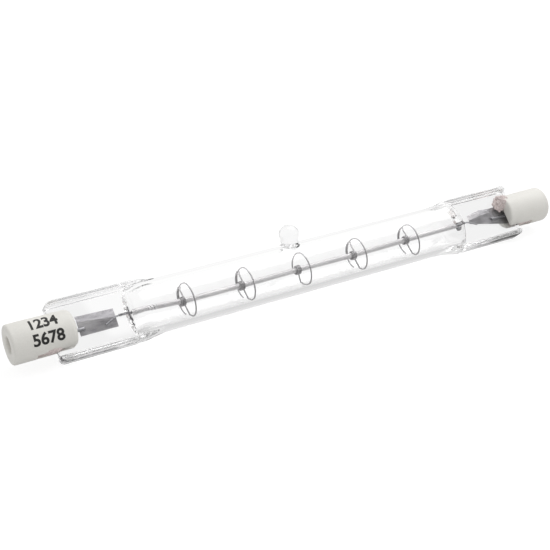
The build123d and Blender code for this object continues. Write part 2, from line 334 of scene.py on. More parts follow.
@dataclass(frozen=True)
class GrainedFinish:
    """An opaque finish of two near tones with a fine grain.

    Colours are linear, the scale is in lumps per metre and the relief in metres.
    """

    name: str
    light_tone: Colour
    dark_tone: Colour
    scale: float
    relief: float
    roughness: tuple[float, float]
    metallic: float = 0.0
    stretch: float = 1.0
    specular: float = 0.5

    def build(self, grain: NodeTree) -> Material:
        """Makes the material, with the shared grain group in front of its shader."""
        material, shading = start_material(self.name)
        low, high = self.roughness
        group = shading.add("Group", {
            "Light Tone": (*self.light_tone, 1), "Dark Tone": (*self.dark_tone, 1), "Scale": self.scale,
            "Stretch": self.stretch, "Roughness Low": low, "Roughness High": high, "Relief": self.relief,
        }, node_tree=grain).outputs
        shading.feed("Principled BSDF", {
            "Metallic": self.metallic, "Specular IOR Level": self.specular, "Base Color": group["Color"],
            "Roughness": group["Roughness"], "Normal": group["Normal"],
        })
        return material


@dataclass(frozen=True)
class QuartzFinish:
    """Clear quartz, smooth along the tube and faintly rippled where it was pressed.

    The long edges of the seals are duller, and the lower ones are tinted darker as painted shade where the lamp rests
    on them.
    """

    name: str = "clear_quartz"
    ior: float = 1.458
    ripple_scale: float = 650.0
    ripple_depth: float = 0.00001
    smooth_until: float = 34.0 * MM
    pressed_from: float = 37.5 * MM
    lamp_light: float = 0.93
    edge_from: float = 4.75 * MM
    edge_full: float = 5.15 * MM
    edge_roughness: float = 0.25
    painted_edge_shade: float = 0.55

    def build(self) -> Material:
        """Makes the material, which lets the lamps' light through instead of casting a hard shadow."""
        material, shading = start_material(self.name)
        place = shading.add("TexCoord").outputs["Object"]
        along = shading.add("SeparateXYZ", {"Vector": place}).outputs["X"]
        pressed = shading.ramp(shading.math("ABSOLUTE", along), self.smooth_until, self.pressed_from)
        dimples = shading.add("TexNoise", {"Vector": place, "Scale": self.ripple_scale, "Detail": 1.5}).outputs["Fac"]
        relief = {"Height": shading.math("MULTIPLY", pressed, dimples), "Distance": self.ripple_depth}
        from_axis = shading.vector("SUBTRACT", place, LAYOUT.spot(0))
        below = shading.vector("DOT_PRODUCT", from_axis, -LAYOUT.width_way, "Value")
        # The darker tint on the lower edges is painted shade where the lamp rests.
        rough, painted_shade_mask = (
            shading.math("MULTIPLY", shading.ramp(reach, self.edge_from, self.edge_full), pressed)
            for reach in (shading.math("ABSOLUTE", below), below)
        )
        shading.feed("Principled BSDF", {
            "IOR": self.ior,
            "Transmission Weight": 1.0,
            "Base Color": shading.mix(painted_shade_mask, (1, 1, 1, 1), (*[self.painted_edge_shade] * 3, 1), "RGBA"),
            "Roughness": shading.ramp(rough, 0, 1, 0, self.edge_roughness),
            "Normal": shading.add("Bump", relief).outputs["Normal"],
        })
        clear = shading.add("BsdfTransparent", {"Color": (*[self.lamp_light] * 3, 1)})
        surface = shading.add("MixShader", {
            "Fac": shading.add("LightPath").outputs["Is Shadow Ray"],
            1: shading.nodes["Principled BSDF"].outputs["BSDF"],
            2: clear.outputs["BSDF"],
        })
        shading.feed("Material Output", {"Surface": surface.outputs["Shader"]})
        return material


STEATITE = GrainedFinish("steatite", (0.86, 0.845, 0.80), (0.80, 0.785, 0.74), 5200, 0.000004, (0.42, 0.6))
INK = GrainedFinish("marking_ink", (0.03, 0.03, 0.028), (0.012, 0.012, 0.012), 6000, 0.000006, (0.6, 0.85))
CEMENT = GrainedFinish("cement", (0.82, 0.73, 0.71), (0.56, 0.47, 0.46), 2600, 0.00006, (0.85, 1.0))
COIL = GrainedFinish("coil_tungsten", (0.88, 0.87, 0.87), (0.68, 0.67, 0.68), 9000, 0.000002, (0.38, 0.55), 1.0)
SUPPORT = GrainedFinish("support_tungsten", (0.42, 0.41, 0.42), (0.28, 0.27, 0.28), 9000, 0.000002, (0.3, 0.5),
                        1.0, 0.3)
LEAD = GrainedFinish("molybdenum_wire", (0.46, 0.46, 0.48), (0.28, 0.28, 0.30), 6000, 0.000003, (0.35, 0.55), 1.0, 0.2)
# The foil's two finishes are lit and shaded copies of one foil: painted light and painted shade.
FOIL_PAINTED_LIT = GrainedFinish("foil_painted_lit_face", (0.40, 0.39, 0.41), (0.22, 0.215, 0.225), 1500, 0.000004,
                           (0.3, 0.5), 1.0, 0.25)
FOIL_PAINTED_SHADE = GrainedFinish("foil_painted_shaded_face", (0.44, 0.43, 0.44), (0.20, 0.195, 0.205), 1100, 0.000006,
                          (0.3, 0.5), 1.0, 0.3)
CONTACT = GrainedFinish("contact_metal", (0.42, 0.40, 0.36), (0.24, 0.225, 0.2), 3500, 0.000005, (0.35, 0.6), 1.0)


@dataclass
class Envelope:
    """The quartz: tube, shoulders, pressed seals with raised edges, and the exhaust tip.

    Its skin is one ring of points carried from end to end, which is a circle along the tube and
    an I-shaped section in the seals. Lengths are in millimetres from the lamp's outer end.
    """

    points_round: int = 192
    seal_end: float = 7.8
    seal_half_width: float = 5.55
    flange_half: float = 1.7
    web_half: float = 1.1
    pocket_half_width: float = 4.6
    pocket_wall: float = 0.14
    edge_radius: float = 0.35
    corner_radius: float = 1.1
    end_radius: float = 0.3
    shoulder_line: float = 21.7
    shoulder_bow: float = 1.0
    shoulder_end: float = 25.4
    fade_start: float = 22.8
    fade_end: float = 28.6
    cavity_end: float = 22.3
    cavity_full_left: float = 24.4
    cavity_full_right: float = 23.2
    cavity_flat_width: float = 3.5
    cavity_flat_height: float = 0.8
    unevenness: float = 0.03
    tip_place: float = -2.9
    tip_turn: float = math.radians(55)
    tip_base: float = 2.1
    tip_neck: float = 1.68
    tip_neck_level: float = 5.6
    tip_bulb: float = 1.93
    tip_bulb_level: float = 7.25
    tip_top: float = 8.88

    def stations(self) -> list[float]:
        """Distances from the lamp's end of the rings on one side, closer where the form changes."""
        near_end = [self.seal_end + step for step in (0, 0.03, 0.09, 0.18, 0.3, 0.5, 0.7, 0.9, 1.1)]
        web = [9.3 + 0.5 * step for step in range(24)]
        shoulder = [21.3 + 0.18 * step for step in range(42)]
        tube = [29.2 + 1.6 * step for step in range(15)]
        return near_end + web + shoulder + tube

    def hull_point(self, turn: float, half_width: float) -> tuple[float, float]:
        """Point of the rounded rectangle around a seal's section, at an even share of its outline."""
        radius, half_height = self.edge_radius, self.flange_half
        quarter, share = divmod(turn / (math.pi / 2), 1)
        share = share if quarter in (0, 2) else 1 - share
        lengths = (half_height - radius, math.pi / 2 * radius, half_width - radius)
        run = share * sum(lengths)
        if run < lengths[0]:
            across, up = half_width, run
        elif run < lengths[0] + lengths[1]:
            bend = (run - lengths[0]) / radius
            across = half_width - radius + radius * math.cos(bend)
            up = half_height - radius + radius * math.sin(bend)
        else:
            across, up = half_width - radius - (run - lengths[0] - lengths[1]), half_height
        return across * (1 if quarter in (0, 3) else -1), up * (1 if quarter in (0, 1) else -1)

    def skin_point(self, side: Side, distance: float, turn: float) -> Vector:
        """One point of the glass's outer skin.

        Args:
            side: Which half of the lamp it lies in.
            distance: How far it is from that end, in millimetres.
            turn: Where it is round the ring, as an angle in radians.

        Returns:
            The point, in metres.
        """
        in_from_end = distance - self.seal_end
        corner = self.corner_radius
        inset = corner - math.sqrt(corner**2 - max(corner - in_from_end, 0.0) ** 2)
        lip = self.end_radius - math.sqrt(self.end_radius**2 - max(self.end_radius - in_from_end, 0.0) ** 2)
        across, up = self.hull_point(turn, self.seal_half_width - inset)
        pocket_wide = self.pocket_half_width + self.pocket_wall
        in_pocket = smooth_step(pocket_wide - abs(across), 0, 2 * self.pocket_wall)
        level = self.flange_half - (self.flange_half - self.web_half) * in_pocket
        if abs(across) < pocket_wide:
            up = math.copysign(level, up)
        up -= math.copysign(min(lip, abs(up)), up)
        line = self.shoulder_line + self.shoulder_bow * (across / self.pocket_half_width) ** 2
        dome = quarter_dome(distance, line, self.shoulder_end + 0.4)
        fade = smooth_step(distance, self.fade_start, self.fade_end)
        share = dome * in_pocket + fade * (1 - in_pocket)
        ring = LAYOUT.tube_radius
        across += (ring * math.cos(turn) - across) * share
        up += (ring * math.sin(turn) - up) * share
        along = LAYOUT.at(side, distance)
        waves = self.unevenness * (1 - fade)
        place = Vector((along, across, up)) * MM
        across += math.copysign(waves, across) * (ripple(place, 0.9) - 0.4) * (1 - in_pocket)
        up += waves * 0.8 * ripple(place + Vector((0.1, 0, 0)), 0.7) * (1 - share)
        return LAYOUT.spot(along, across, up)

    def cavity_point(self, side: Side, distance: float, turn: float) -> Vector:
        """One point of the hollow's wall, in metres, with arguments as for the skin."""
        full = self.cavity_full_left if side is Side.LEFT else self.cavity_full_right
        dome = quarter_dome(distance, self.cavity_end, full)
        bore = LAYOUT.bore_radius
        half_width = self.cavity_flat_width + (bore - self.cavity_flat_width) * dome
        half_height = self.cavity_flat_height + (bore - self.cavity_flat_height) * dome
        across, up = half_width * math.cos(turn), half_height * math.sin(turn)
        return LAYOUT.spot(LAYOUT.at(side, distance), across, up)

    def carry_ring(self, shape: BMesh, rings: Sequence[Sequence[Vector]]) -> None:
        """Extrudes one closed ring through every station and closes both ends."""
        ring = bmesh.ops.create_circle(shape, cap_ends=False, segments=len(rings[0]), radius=MM)["verts"]
        first = ring
        for points in rings:
            ring = ring if points is rings[0] else next_ring(shape, ring)
            for vert, point in zip(ring, points):
                vert.co = point
        close_rings(shape, first, ring)

    def grow_pip(self, shape: BMesh, wall_radius: float, profile: Sequence[tuple[float, float]]) -> None:
        """Opens a round hole in a tube and carries its rim up through a turned profile to a point.

        Args:
            shape: The bmesh with the tube.
            wall_radius: The tube's radius in millimetres.
            profile: Radius and level above the lamp's axis of each ring, from the tube outwards.
        """
        upright = LAYOUT.face_way * math.cos(self.tip_turn) + LAYOUT.width_way * math.sin(self.tip_turn)
        sideways = upright.cross(Vector((1, 0, 0)))
        centre = LAYOUT.spot(self.tip_place)
        base_radius = profile[0][0]
        doomed = []
        for face in shape.faces:
            offset = (face.calc_center_median() - centre) / MM
            from_axis = math.hypot(offset.x, offset.dot(sideways))
            if from_axis < base_radius * 0.93 and offset.dot(upright) > 0:
                doomed.append(face)
        rim_before = {edge for face in doomed for edge in face.edges if any(f not in doomed for f in edge.link_faces)}
        rim = sorted({vert for edge in rim_before for vert in edge.verts}, key=lambda vert: vert.index)
        bmesh.ops.delete(shape, geom=doomed, context="FACES")

        def angle_of(vert: BMVert) -> float:
            """Angle of a rim point about the pip's own axis."""
            offset = vert.co - centre
            return math.atan2(offset.dot(sideways), offset.x)

        rim.sort(key=angle_of)
        count = len(rim)
        start = angle_of(rim[0])
        angles = [start + 2 * math.pi * index / count for index in range(count)]

        def put(verts: Sequence[BMVert], radius: float, level: float, hug: float) -> None:
            """Moves a ring to its radius and level, hugging the tube by the share given."""
            for vert, angle in zip(verts, angles):
                along, aside = radius * math.cos(angle), radius * math.sin(angle)
                drop = math.sqrt(max(wall_radius**2 - aside**2, 0.0)) - wall_radius
                vert.co = centre + (Vector((along, 0, 0)) + sideways * aside + upright * (level + drop * hug)) * MM

        put(rim, base_radius, wall_radius, 1.0)
        ring = rim
        for index, (radius, level) in enumerate(profile[1:], start=1):
            ring = next_ring(shape, ring)
            put(ring, radius, level, max(0.0, 1 - index / 5))
        close_rings(shape, ring)

    def tip_profile(self) -> list[tuple[float, float]]:
        """The tip's outline: a fillet off the tube, a slight waist, a bulb and a round top."""
        tube = LAYOUT.tube_radius
        flare, rise = self.tip_base - self.tip_neck, self.tip_neck_level - tube
        outline = [(self.tip_neck + run, tube + climb) for run, climb in fillet(flare, rise, 5)]
        for step in range(1, 7):
            share = step / 6
            swell = (1 - math.cos(math.pi * share)) / 2
            level = self.tip_neck_level + (self.tip_bulb_level - self.tip_neck_level) * share
            outline.append((self.tip_neck + (self.tip_bulb - self.tip_neck) * swell, level))
        for step in range(1, 9):
            bend = math.pi / 2 * step / 8.4
            level = self.tip_bulb_level + (self.tip_top - self.tip_bulb_level) * math.sin(bend)
            outline.append((self.tip_bulb * math.cos(bend), level))
        return outline

    def build(self, quartz: Material) -> None:
        """Makes the envelope as one piece of glass with its hollow inside."""
        turns = [2 * math.pi * index / self.points_round for index in range(self.points_round)]
        middle = [self.tip_place + 0.3 * step for step in range(-10, 11)]
        left = [(Side.LEFT, distance) for distance in self.stations()]
        right = [(Side.RIGHT, distance) for distance in reversed(self.stations())]
        centre = [(Side.LEFT, LAYOUT.half_length + place) for place in middle]
        # Rings too near the tip's own are left out, so that the stations run in order
        left = [(side, distance) for side, distance in left if LAYOUT.at(side, distance) < middle[0] - 0.3]
        right = [(side, distance) for side, distance in right if LAYOUT.at(side, distance) > middle[-1] + 0.3]
        glass = bmesh.new()
        self.carry_ring(glass, [[self.skin_point(side, distance, turn) for turn in turns]
                                for side, distance in left + centre + right])
        glass.faces.ensure_lookup_table()
        glass.verts.index_update()
        self.grow_pip(glass, LAYOUT.tube_radius, self.tip_profile())
        face_outward(glass)
        hollow = bmesh.new()
        inner, outer = ([(side, distance) for side, distance in half if distance > self.cavity_end + 0.02]
                        for half in (left, right))
        stations = [(Side.LEFT, self.cavity_end), *inner, *centre, *outer, (Side.RIGHT, self.cavity_end)]
        self.carry_ring(hollow, [[self.cavity_point(side, distance, turn) for turn in turns[::2]]
                                 for side, distance in stations])
        face_outward(hollow)
        bmesh.ops.reverse_faces(hollow, faces=hollow.faces[:])
        move_into(glass, hollow)
        finish_piece("quartz_envelope_glass", glass, quartz, ["quartz_envelope"], 50)


@dataclass
class Coil:
    """The close-wound filament and its five wire supports. Lengths are in millimetres."""

    start: float = 22.6
    outer_radius: float = 0.57
    wire: float = 0.24
    pitch: float = 0.3
    support_wire: float = 0.27
    places: tuple[float, ...] = (-25.3, -13.1, -0.9, 11.8, 24.4)
    sags: tuple[float, ...] = (0.5, 0.5, 0.35, 0.4, 0.15)
    angles: tuple[float, ...] = (3.0, 1.0, -25.0, 2.0, 4.0)
    arcs: tuple[float, ...] = (256.0, 262.0, 285.0, 258.0, 254.0)
    tails: tuple[float, ...] = (112.0, 108.0, 0.0, 110.0, 116.0)
    grip: float = 2.0
    wrap_clearance: float = 0.07
    wrap_turns: float = 3.0
    wrap_pitch: float = 0.34
    wrap_offset: float = 0.45
    loop_radius: float = 3.2
    loop_drop: float = 0.45
    loop_lean: float = 4.0
    leg_bend: float = 0.45
    tail_angle: float = 192.0
    tail_bend: float = 1.0
    overwind_start: float = 20.2
    overwind_radius: float = 0.29
    overwind_wire: float = 0.13
    overwind_pitch: float = 0.27

    @property
    def wrap_radius(self) -> float:
        """Radius of the middle of the wire that is wound on the filament."""
        return self.outer_radius + self.wrap_clearance + self.support_wire / 2

    def sag_at(self, along: float) -> float:
        """How far the filament hangs below the axis at a place along X."""
        end = LAYOUT.half_length - self.start - self.grip - 1
        knots = [-end, *self.places, end]
        drops = [0.0, *self.sags, 0.0]
        for before, after, high, low in zip(knots, knots[1:], drops, drops[1:]):
            if before <= along <= after:
                return high + (low - high) * (along - before) / (after - before)
        return 0.0

    def build_filament(self, finish: Material) -> None:
        """Winds the filament as one true helix and lets it sag between its supports."""
        steps_per_turn = 12
        length = 2 * (LAYOUT.half_length - self.start)
        turns = round((length - self.wire) / self.pitch)
        shape = bmesh.new()
        start = LAYOUT.spot(LAYOUT.at(Side.LEFT, self.start) + self.wire / 2)
        radius = (self.outer_radius - self.wire / 2) * MM
        section = Matrix.Translation(start + Vector((0, 0, radius))) @ Matrix.Rotation(math.pi / 2, 4, "X")
        ring = bmesh.ops.create_circle(shape, cap_ends=False, segments=6, radius=self.wire / 2 * MM,
                                       matrix=section)["verts"]
        advance = Vector(((length - self.wire) * MM / (turns * steps_per_turn), 0, 0))
        bmesh.ops.spin(shape, geom=ring + ring_edges(ring), cent=start, axis=(1, 0, 0), dvec=advance,
                       angle=2 * math.pi * turns, steps=turns * steps_per_turn, use_merge=False,
                       use_normal_flip=False, use_duplicate=False)
        for vert in shape.verts:
            vert.co.z -= self.sag_at(vert.co.x / MM) * MM
        face_outward(shape)
        finish_piece("filament_coil", shape, finish, ["filament"], 60)

    def branch(self, leave: float, bend: float, centre: Vector, turn: float, start: float, end: float) -> list[Vector]:
        """Route of a spoke off the winding, the bend onto the loop and part of the loop, in the support's plane.

        Args:
            leave: Angle in degrees at which the spoke leaves the winding along its tangent.
            bend: Radius of the bend.
            centre: The middle of the loop.
            turn: How far the wire follows the loop, in degrees.
            start: Place along the filament where it leaves the winding.
            end: Place along the filament of the loop.
        """
        outward = Vector((math.cos(math.radians(leave)), math.sin(math.radians(leave)), 0))
        root = outward * self.wrap_radius
        heading, left = Vector((-outward.y, outward.x, 0)), -outward
        # The bend's hub lies on a circle about the loop's middle, so the two meet without a kink
        reach = root + left * bend - centre
        run = reach.dot(heading)
        straight = -run + math.sqrt(run**2 - reach.length_squared + (self.loop_radius - bend) ** 2)
        hub = root + heading * straight + left * bend
        last = math.degrees(math.atan2((hub - centre).y, (hub - centre).x))
        spoke = [root, *arc_points(hub, bend, leave, (last - leave) % 360, 12)]
        for index, point in enumerate(spoke):
            point.z = start + (end - start) * min(index, 3) / 3
        entry = spoke[-1] - centre
        loop = arc_points(centre, self.loop_radius, math.degrees(math.atan2(entry.y, entry.x)), turn, 6)[1:]
        return spoke + [point + Vector((0, 0, end)) for point in loop]

    def build_support(self, number: int, finish: Material) -> None:
        """Bends one support: turns on the filament, a spoke, and a loop in the bore."""
        place, sag = self.places[number - 1], self.sags[number - 1]
        turn = math.radians(self.angles[number - 1])
        leg_way = LAYOUT.width_way * -math.sin(turn) + LAYOUT.face_way * -math.cos(turn)
        normal = Vector((-1, 0, 0))
        origin = LAYOUT.spot(place) - Vector((0, 0, sag * MM))
        axes = Matrix((leg_way, normal.cross(leg_way), normal)).transposed().to_4x4()
        lean = Matrix.Rotation(math.radians(self.loop_lean), 4, "Z")
        frame_place = Matrix.Translation(origin) @ lean @ axes @ Matrix.Scale(MM, 4)
        centre = frame_place.inverted() @ (LAYOUT.spot(place) - Vector((0, 0, self.loop_drop * MM)))
        wraps = []
        for step in range(round(24 * self.wrap_turns), 0, -1):
            angle = -2 * math.pi * step / 24
            wraps.append(Vector((math.cos(angle) * self.wrap_radius, math.sin(angle) * self.wrap_radius,
                                 self.wrap_offset + self.wrap_pitch * step / 24)))
        routes = [wraps + self.branch(0.0, self.leg_bend, centre, self.arcs[number - 1], self.wrap_offset, 0.0)]
        if self.tails[number - 1]:
            routes.append(self.branch(self.tail_angle, self.tail_bend, centre, self.tails[number - 1],
                                      self.wrap_offset + self.wrap_pitch, self.support_wire))
        shape = bmesh.new()
        for route in routes:
            sweep_wire(shape, [frame_place @ point for point in route], self.support_wire / 2 * MM)
        name = f"filament_support_{number}"
        finish_piece(f"{name}_wire", shape, finish, [name], 60)

    def build_overwind(self, side: Side, finish: Material) -> None:
        """Winds the open turns that thicken an inner lead before it enters the filament."""
        shape = bmesh.new()
        length = self.start + self.grip - self.overwind_start
        turns = round(length / self.overwind_pitch)
        radius = self.overwind_radius - self.overwind_wire / 2
        route = []
        for step in range(turns * 12 + 1):
            angle = 2 * math.pi * step / 12
            along = LAYOUT.at(side, self.overwind_start + length * step / (turns * 12))
            route.append(LAYOUT.spot(along, radius * math.cos(angle), radius * math.sin(angle)))
        sweep_wire(shape, route, self.overwind_wire / 2 * MM, 6)
        node = f"lead_overwind_{side.label}"
        finish_piece(f"{node}_turns", shape, finish, [node], 60)

    def build(self, coil: Material, support: Material) -> None:
        """Makes the filament, the windings on its leads, and its supports."""
        self.build_filament(coil)
        for side in Side:
            self.build_overwind(side, support)
        for number in range(1, len(self.places) + 1):
            self.build_support(number, support)


@dataclass
class CapEnd:
    """One ceramic cap with its slot, contact recess and cement. Lengths are in millimetres."""

    side: Side
    radius: float = 3.6
    length: float = 11.6
    inner_rounding: float = 1.0
    prong_draft: float = 0.04
    rim_radius: float = 0.45
    recess_radius: float = 1.55
    recess_depth: float = 1.7
    mouth_radius: float = 0.42
    seat_radius: float = 1.1
    seat_depth: float = 2.5
    bore_radius: float = 0.65
    slot_floor: float = 4.1
    slot_half: float = 1.25
    web_half: float = 1.1
    seal_end: float = 7.8
    cement_inset: float = 0.3
    bed_end: float = 9.3

    def outline(self) -> list[tuple[float, float]]:
        """Distance from the lamp's end and radius of each point of the cap's half section."""
        end_radius = self.radius - self.prong_draft
        points = [(into, self.radius - fall) for into, fall in fillet(self.rim_radius, self.rim_radius, 6)]
        points.reverse()
        points.append((self.slot_floor, self.radius))
        points += [(self.length - into, end_radius - fall)
                   for into, fall in fillet(self.inner_rounding, self.inner_rounding, 8)]
        points += [(self.length, self.bore_radius), (self.seat_depth, self.bore_radius),
                   (self.seat_depth, self.seat_radius), (self.recess_depth, self.seat_radius),
                   (self.recess_depth, self.recess_radius)]
        points += [(into, self.recess_radius + fall)
                   for into, fall in fillet(self.mouth_radius, self.mouth_radius, 4)]
        return points

    def build_cap(self, finish: Material) -> None:
        """Turns the cap's half section about the lamp's axis and cuts its slot."""
        shape = bmesh.new()
        upright = Vector((0, 0, 1))
        verts = [shape.verts.new(LAYOUT.spot(LAYOUT.at(self.side, distance)) + upright * radius * MM)
                 for distance, radius in self.outline()]
        for before, after in zip(verts, [*verts[1:], verts[0]]):
            shape.edges.new((before, after))
        bmesh.ops.spin(shape, geom=shape.verts[:] + shape.edges[:], cent=LAYOUT.spot(0), axis=(1, 0, 0),
                       angle=2 * math.pi, steps=128, use_merge=True, use_duplicate=False)
        bmesh.ops.remove_doubles(shape, verts=shape.verts[:], dist=1e-7)
        face_outward(shape)
        node = f"ceramic_cap_{self.side.label}"
        piece = finish_piece(f"{node}_body", shape, finish, [node])
        cutter = self.slot_cutter()
        cut = piece.modifiers.new("slot", "BOOLEAN")
        cut.operation, cut.solver, cut.object = "DIFFERENCE", "EXACT", cutter
        apply_modifiers(piece, 35)
        bpy.data.objects.remove(cutter)
        ease = piece.modifiers.new("eased_edges", "BEVEL")
        ease.width, ease.segments, ease.limit_method, ease.angle_limit = 0.12 * MM, 3, "ANGLE", math.radians(50)
        apply_modifiers(piece, 35)

    def slot_cutter(self) -> Object:
        """Block that stands for the room the seal takes in the cap."""
        shape = bmesh.new()
        bmesh.ops.create_cube(shape, size=1)
        reach = self.length + 2
        middle = (self.slot_floor + reach) / 2
        size = Matrix.Diagonal(((reach - self.slot_floor), 3 * self.radius, 2 * self.slot_half, 1))
        axes = Matrix((Vector((1, 0, 0)), LAYOUT.width_way, LAYOUT.face_way)).transposed().to_4x4()
        place = Matrix.Translation(LAYOUT.spot(LAYOUT.at(self.side, middle)))
        bmesh.ops.transform(shape, matrix=place @ axes @ Matrix.Scale(MM, 4) @ size, verts=shape.verts[:])
        return put_in_scene("slot_cutter", to_mesh(shape, "slot_cutter"))

    def cement_block(self, shape: BMesh, start: float, end: float, low: float, high: float) -> None:
        """Adds one lumpy filling of the slot between two distances and two levels."""
        made = bmesh.ops.create_cube(shape, size=2)["verts"]
        bmesh.ops.subdivide_edges(shape, edges=ring_edges(made), cuts=14, use_grid_fill=True)
        middle, half_run = (start + end) / 2, (end - start) / 2
        for vert in shape.verts:
            if vert.tag:
                continue
            vert.tag = True
            level = (low + high) / 2 + vert.co.z * (high - low) / 2
            reach = math.sqrt((self.radius - self.cement_inset) ** 2 - level**2)
            point = LAYOUT.spot(LAYOUT.at(self.side, middle + vert.co.x * half_run), vert.co.y * reach, level)
            lump = ripple(point, 2.2) * 0.09 + ripple(point, 5.0) * 0.04
            vert.co = point + LAYOUT.width_way * (vert.co.y * lump * MM)

    def cement_bead(self, shape: BMesh, distance: float, across: float, level: float,
                    size: Vector) -> None:
        """Adds one lump of cement that was squeezed out of the slot, at a level above the seal's plane."""
        made = bmesh.ops.create_icosphere(shape, subdivisions=5, radius=1)["verts"]
        for vert in made:
            bulge = vert.co.copy()
            place = Vector((bulge.x * size.x, bulge.y * size.y, bulge.z * size.z))
            lump = 1 + 0.28 * noise.noise(place * 1.3) + 0.12 * noise.noise(place * 3.5)
            vert.co = LAYOUT.spot(LAYOUT.at(self.side, distance - place.x * lump), across + place.y * lump,
                                  level + place.z * lump)
            vert.tag = True

    def build_cement(self, finish: Material) -> None:
        """Fills the slot behind and beside the seal, with what was squeezed out of it."""
        shape = bmesh.new()
        self.cement_block(shape, self.slot_floor, self.seal_end, -self.slot_half, self.slot_half)
        for sign in (-1, 1):
            levels = sorted((sign * self.web_half, sign * self.slot_half))
            self.cement_block(shape, self.seal_end, self.bed_end, *levels)
        if self.side is Side.RIGHT:
            self.cement_bead(shape, 10.8, 1.8, self.web_half, Vector((1.5, 1.5, 0.4)))
            self.cement_bead(shape, 10.1, 2.0, self.web_half, Vector((1.4, 1.5, 1.8)))
        else:
            self.cement_bead(shape, 6.9, -3.15, 0.8, Vector((1.9, 0.5, 1.0)))
        face_outward(shape)
        node = f"cement_{self.side.label}"
        finish_piece(f"{node}_fill", shape, finish, [node], 60)

    def build(self, steatite: Material, cement: Material) -> None:
        """Makes the cap and its cement."""
        self.build_cap(steatite)
        self.build_cement(cement)


@dataclass
class Ribbon:
    """A foil ribbon with a crease along it, so that its two halves catch different light, helped by painted light and
    shade in their two finishes.

    Each row of its outline is a distance from the lamp's end and the places across the seal of its far
    edge, its crease and its near edge. Each stretch between rows names the finish of its far and its
    near half, 0 for the one with painted light and 1 for the one with painted shade. Lengths are in millimetres.
    """

    side: Side
    outline: tuple[tuple[float, float, float, float], ...]
    tones: tuple[tuple[int, int], ...]
    thickness: float = 0.04
    crease: float = 0.22
    depth: float = 0.19

    def build(self, light: Material, dark: Material) -> None:
        """Makes the ribbon from rows of three points: its far edge, its crease and its near edge."""
        shape = bmesh.new()
        rows = []
        for distance, far, ridge, near in self.outline:
            along = LAYOUT.at(self.side, distance)
            levels = ((far, -self.crease), (ridge, 0.0), (near, -self.crease))
            rows.append([shape.verts.new(LAYOUT.spot(along, across, level - self.depth)) for across, level in levels])
        for before, after, tones in zip(rows, rows[1:], self.tones):
            # Each half takes the finish with painted light or the one with painted shade.
            for half, tone in enumerate(tones):
                face = shape.faces.new((before[half], after[half], after[half + 1], before[half + 1]))
                face.material_index = tone
        face_outward(shape)
        bmesh.ops.solidify(shape, geom=shape.faces[:], thickness=self.thickness * MM)
        node = f"foil_{self.side.label}"
        piece = finish_piece(f"{node}_ribbon", shape, light, [node], 3)
        piece.data.materials.append(dark)


@dataclass
class Marking:
    """Two rows of plain numbers printed on the left cap, in the place of its marking.

    Each row has its text, its distance from the lamp's end, its angle round the cap and its length.
    """

    rows: tuple[tuple[str, float, float, float], ...] = (
        ("1234", 3.75, 54.5, 4.9), ("5678", 3.5, 6.0, 5.6),
    )
    height: float = 2.25
    boldness: float = 0.06
    lift: float = 0.012
    strips: int = 16
    cap_radius: float = 3.6

    def row_mesh(self, text: str) -> Mesh:
        """Flat mesh of one row of bold numbers, with its lower left corner at the origin."""
        curve = bpy.data.curves.new("numbers", "FONT")
        curve.body = text
        curve.offset = self.boldness / 2
        curve.extrude = 0.01
        source = put_in_scene("numbers", curve)
        mesh = evaluated_mesh(source)
        bpy.data.objects.remove(source)
        bpy.data.curves.remove(curve)
        return mesh

    def build(self, ink: Material) -> None:
        """Bends each row round the cap, from the distance and angle where it starts."""
        shape = bmesh.new()
        for text, distance, angle, length in self.rows:
            row = bmesh.new()
            row.from_mesh(self.row_mesh(text))
            bmesh.ops.remove_doubles(row, verts=row.verts[:], dist=1e-5)
            low = Vector((min(v.co.x for v in row.verts), min(v.co.y for v in row.verts), 0))
            high = Vector((max(v.co.x for v in row.verts), max(v.co.y for v in row.verts), 0))
            size = high - low
            for step in range(1, self.strips):
                level = Vector((0, low.y + size.y * step / self.strips, 0))
                bmesh.ops.bisect_plane(row, geom=row.verts[:] + row.edges[:] + row.faces[:], plane_co=level,
                                       plane_no=(0, 1, 0), dist=1e-6)
            for vert in row.verts:
                along = LAYOUT.at(Side.LEFT, distance + (vert.co.x - low.x) / size.x * length)
                turn = math.radians(angle) + (vert.co.y - low.y) / size.y * self.height / self.cap_radius
                radius = self.cap_radius + (self.lift if vert.co.z > 0 else -self.lift)
                vert.co = Vector((along, -radius * math.cos(turn), LAYOUT.tube_radius + radius * math.sin(turn))) * MM
            face_outward(row)
            move_into(shape, row)
        finish_piece("cap_numbers", shape, ink, (), 30)


